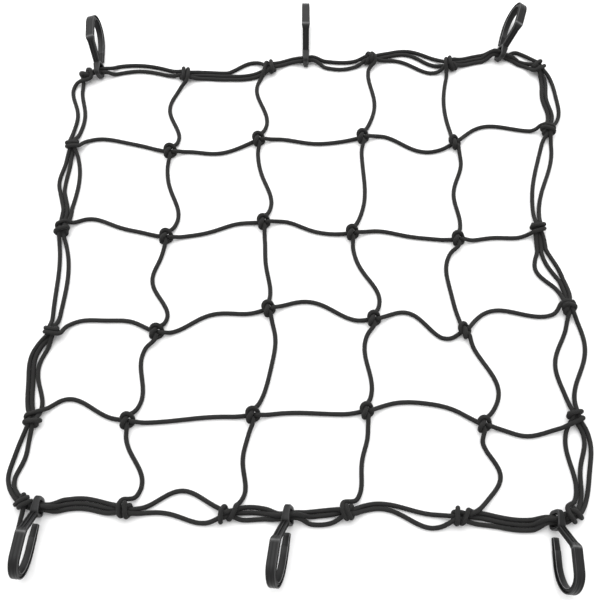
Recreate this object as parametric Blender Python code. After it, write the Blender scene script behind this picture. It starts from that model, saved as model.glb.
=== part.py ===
"""A cargo net of elastic cord as it lies flat on a table, with its six moulded hooks.

Metres, +Z up, +Y to the far edge. The tables hold millimetres, and MM turns them into metres.
"""

import math

import bmesh
import bpy
from mathutils import Matrix, Vector
from mathutils.geometry import intersect_point_line

MM = 0.001
WELD = 0.00001

# The cord lies on the table with its flat underside at Z = 0.
CORD_RADIUS = 1.65 * MM
CORD_SIDES = 6
CORD_REST = CORD_RADIUS * math.cos(math.pi / CORD_SIDES)
STRAND_SPACING = 3.45 * MM
MESH_STEPS = 6
EDGE_STEPS = 5
PIECE_GAP = 0.35 * MM

# Knots are short wound bodies of three ridges: across is the radius of a ridge, along is half the length.
KNOT_SIDES = 8
KNOT_SLANT = 0.30
KNOT_RISE = 2.0 * MM
KNOT_RISE_REACH = 15 * MM
CROSSING_KNOT = {"across": 5.3 * MM, "along": 5.4 * MM, "squash": 0.72}
EDGE_KNOT = {"across": 6.3 * MM, "along": 5.8 * MM, "squash": 0.68}
EDGE_KNOT_SIDE = EDGE_KNOT["across"] * math.cos(math.pi / KNOT_SIDES)
EDGE_KNOT_END = EDGE_KNOT["along"] + KNOT_SLANT * EDGE_KNOT["across"] + 2 * MM
FOOT_CLEARANCE = 2 * CORD_RADIUS + PIECE_GAP + 0.9 * MM
STOP_STEP = 0.1 * MM
# Columns: place along the knot's axis, radius, both as shares of the knot's own sizes.
RIDGES = (
    (-1.00, 0.66),
    (-0.66, 1.00),
    (-0.33, 0.80),
    (0.00, 1.00),
    (0.33, 0.80),
    (0.66, 1.00),
    (1.00, 0.66),
)

# Where the knots lie, in mm from the middle of the net: rows from the far edge, columns from the left.
KNOTS = (
    ((-191, 182), (-106, 180), (-34, 188), (52, 199), (120, 192), (197, 189)),
    ((-196, 107), (-116, 100), (-44, 113), (42, 115), (119, 109), (196, 123)),
    ((-196, 27), (-114, 19), (-38, 33), (31, 23), (114, 17), (178, 29)),
    ((-191, -62), (-116, -63), (-33, -43), (46, -52), (114, -61), (193, -40)),
    ((-197, -130), (-132, -131), (-43, -127), (38, -124), (120, -134), (187, -127)),
    ((-198, -189), (-128, -195), (-59, -197), (23, -196), (98, -198), (177, -199)),
)
BAYS = 5
# The middle of the whole part, hooks included, as seen from the knots' own middle. It is the origin.
MIDDLE = Vector((-0.46, -0.85))

# How a strand strays to the left of the straight line between its knots, in mm.
# Columns: row or column, bay, bow, sway, curl: one, two and three half waves.
ACROSS = (
    (1, 1, 10, 2, 1),
    (1, 2, -5, 2, 1),
    (1, 3, -2, 2, 1),
    (1, 4, -4, 6, 1),
    (1, 5, 12, 4, 0),
    (2, 1, 11, 4, 2),
    (2, 2, 2, -2, 1),
    (2, 3, 2, 3, 1),
    (2, 4, 4, 2, 1),
    (2, 5, -3, 2, -1),
    (3, 1, 14, 0, 2),
    (3, 2, 5, -1, -2),
    (3, 3, 9, 4, -1),
    (3, 4, 5, 8, -2),
    (3, 5, 7, 7, 0),
    (4, 1, 15, 5, 0),
    (4, 2, 1, -1, 0),
    (4, 3, 2, 1, 0),
    (4, 4, 14, 0, 1),
    (4, 5, -5, 1, 1),
)
DOWN = (
    (1, 1, -3, -5, 3),
    (1, 2, 6, -5, 1),
    (1, 3, -1, -5, 4),
    (1, 4, 1, -5, 0),
    (1, 5, 9, -5, 0),
    (2, 1, -2, -7, 0),
    (2, 2, 5, -4, 1),
    (2, 3, 2, -1, 1),
    (2, 4, 10, 1, 1),
    (2, 5, 5, -4, 2),
    (3, 1, 6, -3, -1),
    (3, 2, 7, -2, 0),
    (3, 3, 5, -5, 1),
    (3, 4, -1, -4, 0),
    (3, 5, 6, -1, 2),
    (4, 1, -7, 0, 0),
    (4, 2, 1, 1, 3),
    (4, 3, -10, -2, -1),
    (4, 4, 15, -4, 0),
    (4, 5, 11, -4, -2),
)
# Two strands meet the edge cords beside the knot: row or column, then the place in mm.
ACROSS_FEET = {4: (178, -135)}
DOWN_FEET = {4: (113, -194)}
# The loose end of the edge cord runs from the near left corner knot past its hook, in mm.
LOOSE_END = ((-198, -189), (-197, -196), (-198, -204), (-199, -213))

# The strands of each bay of the edge, from the right-hand one to the left-hand one of its line of knots.
# Columns: side, bay, then bow, sway and curl of each strand.
EDGES = (
    ("far", 1, (6, -1, -1), (10, 0, 0)),
    ("far", 2, (-3, 2, 0), (-3, 2, 0), (0, -3, 3)),
    ("far", 3, (1, 7, 1), (3, 4, 0)),
    ("far", 4, (0, 5, -1), (6, 3, -2), (8, 1, -1)),
    ("far", 5, (11, 0, 0), (11, 0, 0), (13, -4, 1)),
    ("near", 1, (3, -3, -1), (2, -2, -1), (2, -1, -1)),
    ("near", 2, (0, 3, -1), (12, -3, -2)),
    ("near", 3, (-1, 2, -1), (0, 1, 1), (-1, 2, 1)),
    ("near", 4, (1, 6, -1), (4, 3, 0)),
    ("near", 5, (-4, 1, 0), (-4, 1, 1), (-4, 1, 1)),
    ("left", 1, (-2, -4, -2), (2, -3, -1)),
    ("left", 2, (1, -3, 3), (0, 0, 1), (6, 1, 0)),
    ("left", 3, (2, 1, 0), (6, 1, 0)),
    ("left", 4, (-9, -2, -1), (-9, -2, -1), (-7, -3, 1)),
    ("left", 5, (-10, 2, -1), (-7, 3, -2)),
    ("right", 1, (5, -1, 2), (5, -1, 2), (9, -1, 1)),
    ("right", 2, (-5, 1, 0), (1, 3, 0)),
    ("right", 3, (-6, -1, 4), (-2, -3, 1), (-1, -2, -1)),
    ("right", 4, (-8, 2, 2), (6, 4, -1)),
    ("right", 5, (1, -4, 0), (6, 1, 2), (8, 1, 1)),
)

# Columns: name, side, bay, place along the bay in mm, turn about the upright, lean about the hook's length.
# A turn takes the far end of a hook to the left, and a lean takes its top to the left.
HOOKS = (
    ("hook_far_left", "far", 1, 11, 4.5, 15),
    ("hook_far_middle", "far", 3, 31.5, 0, 0),
    ("hook_far_right", "far", 5, 44, -17, -26),
    ("hook_near_left", "near", 1, 12.5, 6.5, 5),
    ("hook_near_middle", "near", 3, 42.5, 8, 16),
    ("hook_near_right", "near", 5, 66, 1.5, -21),
)

# The hook's own frame: U runs out from the eye, V across its width and W up.
EYE_LENGTH = 13.6 * MM
EYE_HEIGHT = 11.4 * MM
EYE_WIDTH = 6.0 * MM
EYE_BAR = 2.0 * MM
EYE_CORNER = 3.4 * MM
EYE_CORNER_STEPS = 3
HOOK_WIDTH = 6.8 * MM
HOOK_THICKNESS = 3.8 * MM
HOOK_REACH = 50 * MM
HOOK_TOP = 26 * MM
NECK_WIDTH = 5.6 * MM
NECK_THICKNESS = 3.4 * MM
CREASE_REACH = 22 * MM
ARM_WIDTH = 5.0 * MM
TIP_REACH = 11 * MM
TIP_WIDTH = 4.4 * MM
TIP_THICKNESS = 3.0 * MM
BEND_STEPS = 8
# The bend is round above its middle height and long and flat below it.
BEND_HEIGHT = 14.5 * MM
BEND_UPPER = 11 * MM
BEND_LOWER = 20 * MM
GROOVE_DEPTH = 1.1 * MM
RIM = 1.0 * MM

# Near a hook the cords close up over this length and climb through the eye.
PINCH_FLAT = 4.5 * MM
PINCH_REACH = 16 * MM
STACK = 3.15 * MM

CORD_COLOUR = (0.012, 0.012, 0.013, 1)
HOOK_COLOUR = (0.02, 0.02, 0.022, 1)


def on_table(place):
    """A place in the tables, in metres from the origin."""
    return (Vector(place) - MIDDLE) * MM


def knot_at(row, column):
    return on_table(KNOTS[row][column])


def edge_ends(side, bay):
    """The two knots of one bay of an edge, as (row, column)."""
    if side == "far":
        return (0, bay - 1), (0, bay)
    if side == "near":
        return (BAYS, bay - 1), (BAYS, bay)
    if side == "left":
        return (bay - 1, 0), (bay, 0)
    return (bay - 1, BAYS), (bay, BAYS)


def smooth(share):
    share = min(max(share, 0.0), 1.0)
    return share * share * (3 - 2 * share)


def wave(bow, sway, curl, share):
    """Sideways shift at a share of the way between two knots."""
    turn = math.pi * share
    return (bow * math.sin(turn) + sway * math.sin(2 * turn) + curl * math.sin(3 * turn)) * MM


def rise_near(distance):
    """How far a strand stands off the table at this distance from the middle of a knot."""
    return KNOT_RISE * (1 - smooth(distance / KNOT_RISE_REACH))


class Line:
    """The straight line between two points of the net, and places beside it."""

    def __init__(self, start, end):
        self.start = start
        self.length = (end - start).length
        self.ahead = (end - start).normalized()
        self.left = Vector((-self.ahead.y, self.ahead.x))

    def place(self, along, aside, height):
        flat = self.start + self.ahead * along + self.left * aside
        return Vector((flat.x, flat.y, height))


def tube(mesh, points, cut_first=None, cut_last=None):
    """A closed cord of upright sections, so that its underside stays level.

    An end is cut square, or along the given direction.
    """
    cuts = {0: cut_first, len(points) - 1: cut_last}
    rings = []
    for index, point in enumerate(points):
        before = points[max(index - 1, 0)]
        after = points[min(index + 1, len(points) - 1)]
        ahead = (after - before).to_2d().normalized()
        left = Vector((-ahead.y, ahead.x, 0))
        cut = cuts.get(index)
        if cut:
            left = cut.to_3d() / cut.dot(left.to_2d())
        ring = []
        for corner in range(CORD_SIDES):
            angle = math.tau * corner / CORD_SIDES
            shift = left * math.cos(angle) + Vector((0, 0, math.sin(angle)))
            ring.append(mesh.verts.new(point + shift * CORD_RADIUS))
        rings.append(ring)
    close_rings(mesh, rings)


def close_rings(mesh, rings):
    """Joins rings of points into one closed skin with flat ends."""
    count = len(rings[0])
    for ring, after in zip(rings, rings[1:]):
        for corner in range(count):
            following = (corner + 1) % count
            mesh.faces.new((ring[corner], ring[following], after[following], after[corner]))
    mesh.faces.new(reversed(rings[0]))
    mesh.faces.new(rings[-1])


def knot(mesh, centre, axis, size):
    """A ridged knot whose turns lie round its axis, flat where it touches the table."""
    across = size["across"]
    middle = across * size["squash"] * 0.94
    left = Vector((-axis.y, axis.x, 0))
    forward = Vector((axis.x, axis.y, 0))
    rings = []
    for place, share in RIDGES:
        ring = []
        for corner in range(KNOT_SIDES):
            angle = math.tau * (corner + 0.5) / KNOT_SIDES
            aside = across * share * math.cos(angle)
            height = middle + across * share * size["squash"] * math.sin(angle)
            along = place * size["along"] + KNOT_SLANT * aside
            point = Vector((centre.x, centre.y, 0)) + forward * along + left * aside
            point.z = max(height, 0.0)
            ring.append(mesh.verts.new(point))
        rings.append(ring)
    close_rings(mesh, rings)


def finish(mesh, name, material=None):
    """Makes an object of a bmesh, with its faces turned outwards."""
    bmesh.ops.recalc_face_normals(mesh, faces=mesh.faces)
    data = bpy.data.meshes.new(name)
    mesh.to_mesh(data)
    mesh.free()
    if material:
        data.materials.append(material)
    thing = bpy.data.objects.new(name, data)
    return thing


def fuse(thing, helper):
    """Joins a helper's solid to a part, and leaves the helper out of the render."""
    helpers.objects.link(helper)
    helper.hide_render = True
    helper.display_type = "WIRE"
    union = thing.modifiers.new("fused " + helper.name, "BOOLEAN")
    union.operation = "UNION"
    union.solver = "EXACT"
    union.use_self = True
    union.object = helper


def plain_material(name, colour, roughness):
    material = bpy.data.materials.new(name)
    material.use_nodes = True
    shader = material.node_tree.nodes["Principled BSDF"]
    shader.inputs["Base Color"].default_value = colour
    shader.inputs["Roughness"].default_value = roughness
    return material


# ---- the strands inside the square ----


def clear_of_edge(spot, centre, axis, routes):
    """Whether a strand that ends here stays a piece gap from an edge knot and from all edge strands."""
    offset = spot - centre
    beside = abs(offset.y * axis.x - offset.x * axis.y)
    beyond = abs(offset.dot(axis))
    if beside < EDGE_KNOT_SIDE + PIECE_GAP and beyond < EDGE_KNOT_END:
        return False
    for route in routes:
        for start, end in zip(route, route[1:]):
            nearest, share = intersect_point_line(spot, start.to_2d(), end.to_2d())
            if 0 <= share <= 1 and (spot - nearest.to_2d()).length < FOOT_CLEARANCE:
                return False
    return True


def stop_short(line, shifts, centre, axis, routes):
    """How far along a line a strand stops, just before the edge knot or the edge strands."""
    along = line.length
    while not clear_of_edge(spot_on(line, shifts, along), centre, axis, routes):
        along -= STOP_STEP
    return along


def spot_on(line, shifts, along):
    return line.place(along, wave(*shifts, along / line.length), 0).to_2d()


def edge_axis(row, column):
    """The way the edge runs through one of its knots."""
    if row in (0, BAYS) and column in (0, BAYS):
        inward_x = 1 if column == 0 else -1
        inward_y = -1 if row == 0 else 1
        return Vector((inward_x, -inward_y)).normalized()
    if row in (0, BAYS):
        return (knot_at(row, column + 1) - knot_at(row, column - 1)).normalized()
    return (knot_at(row + 1, column) - knot_at(row - 1, column)).normalized()


def mesh_strand(mesh, first, last, shifts, foot, routes):
    """One strand between two knots. It is fused at a crossing knot and stops short of an edge knot."""
    start = knot_at(*first)
    end = on_table(foot) if foot else knot_at(*last)
    line = Line(start, end)
    inside = CROSSING_KNOT["across"] * 0.5
    begin = inside
    close = line.length - inside
    cut_first = None
    cut_last = None
    if 0 in first:
        cut_first = edge_axis(*first)
        turned = (-shifts[0], shifts[1], -shifts[2])
        back = Line(end, start)
        begin = line.length - stop_short(back, turned, start, cut_first, routes)
    if BAYS in last:
        cut_last = edge_axis(*last)
        close = stop_short(line, shifts, knot_at(*last), cut_last, routes)
    points = []
    for step in range(MESH_STEPS + 1):
        along = begin + (close - begin) * step / MESH_STEPS
        aside = wave(*shifts, along / line.length)
        height = CORD_REST + rise_near(along) + rise_near(line.length - along)
        points.append(line.place(along, aside, height))
    tube(mesh, points, cut_first, cut_last)


def build_mesh_cords(material, routes):
    knots = bmesh.new()
    for row in range(1, BAYS):
        for column in range(1, BAYS):
            slant = 1 if (row + column) % 2 else -1
            knot(knots, knot_at(row, column), Vector((1, slant)).normalized(), CROSSING_KNOT)
    strands = bmesh.new()
    for row, bay, *shifts in ACROSS:
        foot = ACROSS_FEET.get(row) if bay == BAYS else None
        mesh_strand(strands, (row, bay - 1), (row, bay), shifts, foot, routes)
    for column, bay, *shifts in DOWN:
        foot = DOWN_FEET.get(column) if bay == BAYS else None
        mesh_strand(strands, (bay - 1, column), (bay, column), shifts, foot, routes)
    cords = finish(knots, "mesh_cords", material)
    parts.objects.link(cords)
    fuse(cords, finish(strands, "mesh_strands"))


# ---- the edge cords ----


def eye_centre_height(lean):
    """The height of the middle of a leaning hook's eye when its lowest edge is on the table."""
    angle = math.radians(abs(lean))
    return EYE_WIDTH / 2 * math.sin(angle) + EYE_HEIGHT / 2 * math.cos(angle)


def hook_on(side, bay):
    for name, hook_side, hook_bay, place, turn, lean in HOOKS:
        if (hook_side, hook_bay) == (side, bay):
            return place * MM, lean
    return None


def spread(asides):
    """Pushes strands apart until they lie side by side at least a strand's spacing apart."""
    for _ in range(12):
        for index in range(len(asides) - 1):
            short = STRAND_SPACING - (asides[index + 1] - asides[index])
            if short > 0:
                asides[index] -= short / 2
                asides[index + 1] += short / 2
    return asides


def bay_middle(side, bay, strands, along):
    """Where the middle of a bay's strands lies beside its line."""
    first, last = edge_ends(side, bay)
    line = Line(knot_at(*first), knot_at(*last))
    share = along / line.length
    return sum(wave(*shifts, share) for shifts in strands) / len(strands)


def bay_section(side, bay, strands, line, along):
    """The places of all the strands of a bay at one distance along it: (aside, height) of each."""
    share = along / line.length
    count = len(strands)
    asides = []
    for index, shifts in enumerate(strands):
        home = (index - (count - 1) / 2) * STRAND_SPACING
        asides.append(home + wave(*shifts, share))
    asides = spread(asides)
    height = CORD_REST + rise_near(along) + rise_near(line.length - along)
    heights = [height] * count
    hook = hook_on(side, bay)
    if hook:
        place, lean = hook
        away = along - place
        pinch = 1 - smooth((abs(away) - PINCH_FLAT) / (PINCH_REACH - PINCH_FLAT))
        slope = math.tan(math.radians(lean))
        low = eye_centre_height(lean) - STACK / 2 + slope * away * pinch
        middle = bay_middle(side, bay, strands, place)
        for index in range(count):
            if count == 3:
                target = (index - 1) * STRAND_SPACING / 2
                stacked = STACK * math.sqrt(pinch) if index == 1 else 0
            else:
                target = (index - 0.5) * STRAND_SPACING
                stacked = 0
            asides[index] += (middle + target - asides[index]) * pinch
            heights[index] += (low - heights[index]) * pinch + stacked
    return list(zip(asides, heights))


def stations(line, inside, place):
    """Distances along a bay at which its strands have a section."""
    begin = inside
    close = line.length - inside
    marks = [begin + (close - begin) * step / EDGE_STEPS for step in range(EDGE_STEPS + 1)]
    if place is None:
        return marks
    near = [place + shift * MM for shift in (-16, -10, -5, 0, 5, 10, 16)]
    near = [mark for mark in near if begin + 2 * MM < mark < close - 2 * MM]
    marks = [mark for mark in marks if all(abs(mark - other) > 4 * MM for other in near)]
    return sorted(set(marks + near + [begin, close]))


def edge_routes():
    """The points that every strand of the edge runs through."""
    routes = []
    for side, bay, *strands in EDGES:
        first, last = edge_ends(side, bay)
        line = Line(knot_at(*first), knot_at(*last))
        hook = hook_on(side, bay)
        marks = stations(line, EDGE_KNOT["along"] * 0.6, hook[0] if hook else None)
        sections = [bay_section(side, bay, strands, line, mark) for mark in marks]
        for index in range(len(strands)):
            routes.append([line.place(mark, *section[index]) for mark, section in zip(marks, sections)])
    routes.append(loose_end())
    return routes


def loose_end():
    """The points of the cord's end that sticks out of a corner knot."""
    spots = [on_table(place) for place in LOOSE_END]
    return [spot.to_3d() + Vector((0, 0, CORD_REST + rise_near((spot - spots[0]).length))) for spot in spots]


def build_edge_cords(material, routes):
    knots = bmesh.new()
    for row in range(BAYS + 1):
        for column in range(BAYS + 1):
            if row in (0, BAYS) or column in (0, BAYS):
                knot(knots, knot_at(row, column), edge_axis(row, column), EDGE_KNOT)
    strands = bmesh.new()
    for route in routes:
        tube(strands, route)
    cords = finish(knots, "edge_cords", material)
    parts.objects.link(cords)
    fuse(cords, finish(strands, "edge_strands"))


# ---- the hooks ----


def hook_path():
    """The centre line of neck, shank, bend and tip. Columns: U, W, width, thickness."""
    half = HOOK_THICKNESS / 2
    path = [
        (EYE_LENGTH / 2 - 1.2 * MM, EYE_HEIGHT - 2.2 * MM, NECK_WIDTH, NECK_THICKNESS),
        (CREASE_REACH - 3.0 * MM, HOOK_TOP - 4.6 * MM, NECK_WIDTH, NECK_THICKNESS),
        (CREASE_REACH, HOOK_TOP - half - 0.3 * MM, HOOK_WIDTH, HOOK_THICKNESS),
        (CREASE_REACH + 6 * MM, HOOK_TOP - half, HOOK_WIDTH, HOOK_THICKNESS),
    ]
    for step in range(BEND_STEPS + 1):
        angle = math.pi / 2 - math.pi * step / BEND_STEPS
        upper = step < BEND_STEPS / 2
        reach = BEND_UPPER if upper else BEND_LOWER
        rise = HOOK_TOP - half - BEND_HEIGHT if upper else BEND_HEIGHT - half
        u = HOOK_REACH - half - reach + reach * math.cos(angle)
        w = BEND_HEIGHT + rise * math.sin(angle)
        width = HOOK_WIDTH + (ARM_WIDTH - HOOK_WIDTH) * step / BEND_STEPS
        path.append((u, w, width, HOOK_THICKNESS))
    path.append((TIP_REACH + 9 * MM, half, ARM_WIDTH, HOOK_THICKNESS))
    path.append((TIP_REACH, TIP_THICKNESS / 2 + 0.4 * MM, TIP_WIDTH, TIP_THICKNESS))
    return path


def hook_section(width, thickness):
    """An I section: a web between two rims, as (V, N) with N along the path's normal."""
    side = width / 2
    web = side - GROOVE_DEPTH
    top = thickness / 2
    lip = top - RIM
    right = [(side, -top), (side, -lip), (web, -lip), (web, lip), (side, lip), (side, top)]
    left = [(-v, -n) for v, n in right]
    return right + left


def hook_body():
    """The swept hook from its neck to its tip."""
    mesh = bmesh.new()
    path = hook_path()
    rings = []
    for index, (u, w, width, thickness) in enumerate(path):
        before = path[max(index - 1, 0)]
        after = path[min(index + 1, len(path) - 1)]
        ahead = Vector((after[0] - before[0], after[1] - before[1])).normalized()
        normal = Vector((-ahead.y, ahead.x))
        ring = []
        for v, n in hook_section(width, thickness):
            ring.append(mesh.verts.new((u + normal.x * n, v, w + normal.y * n)))
        rings.append(ring)
    close_rings(mesh, rings)
    return mesh


def eye_outline(inset):
    """The rounded outline of the eye, or of its slot, as (U, W) from the eye's middle."""
    radius = EYE_CORNER - inset
    reach = EYE_LENGTH / 2 - EYE_CORNER
    lift = EYE_HEIGHT / 2 - EYE_CORNER
    outline = []
    for quarter, (along, up) in enumerate(((1, 1), (-1, 1), (-1, -1), (1, -1))):
        for step in range(EYE_CORNER_STEPS + 1):
            angle = math.pi / 2 * (quarter + step / EYE_CORNER_STEPS)
            outline.append((along * reach + radius * math.cos(angle), up * lift + radius * math.sin(angle)))
    return outline


def hook_eye():
    """The closed loop at the end of the shank, which the edge cords run through."""
    curve = bpy.data.curves.new("eye", "CURVE")
    curve.dimensions = "2D"
    curve.fill_mode = "BOTH"
    curve.extrude = EYE_WIDTH / 2
    for inset in (0, EYE_BAR):
        outline = eye_outline(inset)
        spline = curve.splines.new("POLY")
        spline.points.add(len(outline) - 1)
        spline.use_cyclic_u = True
        for point, (u, w) in zip(spline.points, outline):
            point.co = (u, w, 0, 1)
    loose = bpy.data.objects.new("eye", curve)
    helpers.objects.link(loose)
    bpy.context.view_layer.update()
    graph = bpy.context.evaluated_depsgraph_get()
    mesh = bmesh.new()
    mesh.from_mesh(bpy.data.meshes.new_from_object(loose.evaluated_get(graph)))
    bmesh.ops.remove_doubles(mesh, verts=mesh.verts, dist=WELD)
    bpy.data.objects.remove(loose)
    upright = Matrix.Translation((0, 0, EYE_HEIGHT / 2)) @ Matrix.Rotation(math.pi / 2, 4, "X")
    mesh.transform(upright)
    return mesh


def build_hook(name, side, bay, place, turn, lean, material):
    """One hook on the cords of an edge, leaning as it lies."""
    strands = next(row[2:] for row in EDGES if row[:2] == (side, bay))
    first, last = edge_ends(side, bay)
    line = Line(knot_at(*first), knot_at(*last))
    along = place * MM
    spot = line.place(along, bay_middle(side, bay, strands, along), eye_centre_height(lean))
    out = math.pi / 2 if side == "far" else -math.pi / 2
    sense = 1 if side == "far" else -1
    stand = (
        Matrix.Translation(spot)
        @ Matrix.Rotation(out + sense * math.radians(turn), 4, "Z")
        @ Matrix.Rotation(-sense * math.radians(lean), 4, "X")
        @ Matrix.Translation((0, 0, -EYE_HEIGHT / 2))
    )
    body = hook_body()
    body.transform(stand)
    eye = hook_eye()
    eye.transform(stand)
    hook = finish(body, name, material)
    parts.objects.link(hook)
    fuse(hook, finish(eye, name + "_eye"))


for old in list(bpy.data.objects):
    bpy.data.objects.remove(old)
parts = bpy.data.collections.new("parts")
helpers = bpy.data.collections.new("helpers")
bpy.context.scene.collection.children.link(parts)
bpy.context.scene.collection.children.link(helpers)

edge_strands = edge_routes()
build_edge_cords(plain_material("edge cord", CORD_COLOUR, 0.8), edge_strands)
build_mesh_cords(plain_material("mesh cord", CORD_COLOUR, 0.8), edge_strands)
for hook_row in HOOKS:
    build_hook(*hook_row, plain_material(hook_row[0] + " plastic", HOOK_COLOUR, 0.45))
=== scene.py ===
"""The looks of a cargo net: two elastic cords knotted into a square, with six moulded hooks.

Metres, +Z up, +Y to the far edge. The tables hold millimetres, and MM turns them into metres.
"""

import math

import bmesh
import bpy
import numpy as np
from mathutils import Matrix, Vector


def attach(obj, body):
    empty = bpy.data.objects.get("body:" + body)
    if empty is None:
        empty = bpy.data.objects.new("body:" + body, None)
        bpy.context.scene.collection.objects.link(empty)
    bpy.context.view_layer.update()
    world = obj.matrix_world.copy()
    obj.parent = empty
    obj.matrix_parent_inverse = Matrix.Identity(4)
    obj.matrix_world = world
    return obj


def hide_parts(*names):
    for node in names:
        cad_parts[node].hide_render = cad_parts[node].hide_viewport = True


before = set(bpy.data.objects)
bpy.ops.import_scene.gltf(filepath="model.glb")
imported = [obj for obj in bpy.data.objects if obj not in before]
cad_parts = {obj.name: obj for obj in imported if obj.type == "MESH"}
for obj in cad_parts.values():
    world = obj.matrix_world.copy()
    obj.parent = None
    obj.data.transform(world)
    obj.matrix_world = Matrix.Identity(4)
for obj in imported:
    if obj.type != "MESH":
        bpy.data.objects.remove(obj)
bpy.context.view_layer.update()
MM = 0.001


# ---- The camera ----
# It looks down on the net from the near side through a long lens, from where the knots fall as they do in
# the photograph.

eye = Vector((-8.04, -354.75, 642.3)) * MM
aim = Vector((-8.04, -31.65, 0)) * MM
camera_data = bpy.data.cameras.new("camera")
camera_data.sensor_width = 36
camera_data.lens = 57
camera_data.clip_start = 0.01
camera = bpy.data.objects.new("camera", camera_data)
camera.location = eye
camera.rotation_euler = (aim - eye).to_track_quat("-Z", "Y").to_euler()
bpy.context.scene.collection.objects.link(camera)
bpy.context.scene.camera = camera


# ---- The strands of the edge ----
# One elastic cord with a braided sheath, 3.3 mm thick, runs twice round the square. Where the cord of the
# mesh turns back it runs beside it as a third strand. The strands lie on the table between the knots.

CORD_RADIUS = 1.65 * MM
STRAND_SPACING = 3.45 * MM
KNOT_RISE = 2.0 * MM
KNOT_RISE_REACH = 15 * MM
SECTION_STEP = 1.0 * MM
SPREAD_ROUNDS = 12

# Where the knots lie, in mm: rows from the far edge, columns from the left.
KNOTS = (
    ((-191, 182), (-106, 180), (-34, 188), (52, 199), (120, 192), (197, 189)),
    ((-196, 107), (-116, 100), (-44, 113), (42, 115), (119, 109), (196, 123)),
    ((-196, 27), (-114, 19), (-38, 33), (31, 23), (114, 17), (178, 29)),
    ((-191, -62), (-116, -63), (-33, -43), (46, -52), (114, -61), (193, -40)),
    ((-197, -130), (-132, -131), (-43, -127), (38, -124), (120, -134), (187, -127)),
    ((-198, -189), (-128, -195), (-59, -197), (23, -196), (98, -198), (177, -199)),
)
BAYS = 5
# The middle of the whole part, hooks included, as seen from the knots' own middle. It is the origin.
MIDDLE = Vector((-0.46, -0.85))

# The strands of each bay of the edge, from the right-hand one to the left-hand one of its line of knots.
# Columns: side, bay, then bow, sway and curl of each strand, one, two and three half waves in mm.
EDGES = (
    ("far", 1, (6, -1, -1), (10, 0, 0)),
    ("far", 2, (-3, 2, 0), (-3, 2, 0), (0, -3, 3)),
    ("far", 3, (1, 7, 1), (3, 4, 0)),
    ("far", 4, (0, 5, -1), (6, 3, -2), (8, 1, -1)),
    ("far", 5, (11, 0, 0), (11, 0, 0), (13, -4, 1)),
    ("near", 1, (3, -3, -1), (2, -2, -1), (2, -1, -1)),
    ("near", 2, (0, 3, -1), (12, -3, -2)),
    ("near", 3, (-1, 2, -1), (0, 1, 1), (-1, 2, 1)),
    ("near", 4, (1, 6, -1), (4, 3, 0)),
    ("near", 5, (-4, 1, 0), (-4, 1, 1), (-4, 1, 1)),
    ("left", 1, (-2, -4, -2), (2, -3, -1)),
    ("left", 2, (1, -3, 3), (0, 0, 1), (6, 1, 0)),
    ("left", 3, (2, 1, 0), (6, 1, 0)),
    ("left", 4, (-9, -2, -1), (-9, -2, -1), (-7, -3, 1)),
    ("left", 5, (-10, 2, -1), (-7, 3, -2)),
    ("right", 1, (5, -1, 2), (5, -1, 2), (9, -1, 1)),
    ("right", 2, (-5, 1, 0), (1, 3, 0)),
    ("right", 3, (-6, -1, 4), (-2, -3, 1), (-1, -2, -1)),
    ("right", 4, (-8, 2, 2), (6, 4, -1)),
    ("right", 5, (1, -4, 0), (6, 1, 2), (8, 1, 1)),
)

# Columns: node, side, bay, place along the bay in mm, then turn about the upright and lean to one side in
# degrees.
HOOKS = (
    ("hook_far_left", "far", 1, 11, 4.5, 15),
    ("hook_far_middle", "far", 3, 31.5, 0, 0),
    ("hook_far_right", "far", 5, 44, -17, -26),
    ("hook_near_left", "near", 1, 12.5, 6.5, 5),
    ("hook_near_middle", "near", 3, 42.5, 8, 16),
    ("hook_near_right", "near", 5, 66, 1.5, -21),
)
EYE_WIDTH = 6.0 * MM
EYE_HEIGHT = 11.4 * MM
# Near a hook the strands close up over this length and climb through its eye.
PINCH_FLAT = 4.5 * MM
PINCH_REACH = 16 * MM
STACK = 3.15 * MM


def on_table(place):
    """A place in the tables, in metres from the origin."""
    return (Vector(place) - MIDDLE) * MM


def knot_at(row, column):
    return on_table(KNOTS[row][column])


def smooth(share):
    share = min(max(share, 0.0), 1.0)
    return share * share * (3 - 2 * share)


def wave(shifts, share):
    """How far a strand strays to the left of its line, at a share of the way along it."""
    return sum(shift * math.sin(math.pi * share * (turn + 1)) for turn, shift in enumerate(shifts)) * MM


def rise_near(distance):
    """How far a strand stands off the table at this distance from the middle of a knot."""
    return KNOT_RISE * (1 - smooth(distance / KNOT_RISE_REACH))


class Line:
    """The straight line between two points of the net, and places beside it."""

    def __init__(self, start, end):
        self.start = start
        self.length = (end - start).length
        self.ahead = (end - start).normalized()
        self.left = Vector((-self.ahead.y, self.ahead.x))

    def place(self, along, aside, height):
        flat = self.start + self.ahead * along + self.left * aside
        return Vector((flat.x, flat.y, height))

    def marks(self):
        """Distances along the line, a section's step apart."""
        count = round(self.length / SECTION_STEP)
        return [self.length * index / count for index in range(count + 1)]


def edge_ends(side, bay):
    """The two knots of one bay of an edge, as (row, column)."""
    if side == "far":
        return (0, bay - 1), (0, bay)
    if side == "near":
        return (BAYS, bay - 1), (BAYS, bay)
    if side == "left":
        return (bay - 1, 0), (bay, 0)
    return (bay - 1, BAYS), (bay, BAYS)


def edge_line(side, bay):
    first, last = edge_ends(side, bay)
    return Line(knot_at(*first), knot_at(*last))


def edge_strands(side, bay):
    return next(row[2:] for row in EDGES if row[:2] == (side, bay))


def bay_middle(side, bay, along):
    """Where the middle of a bay's strands lies beside its line."""
    strands = edge_strands(side, bay)
    share = along / edge_line(side, bay).length
    return sum(wave(shifts, share) for shifts in strands) / len(strands)


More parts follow.
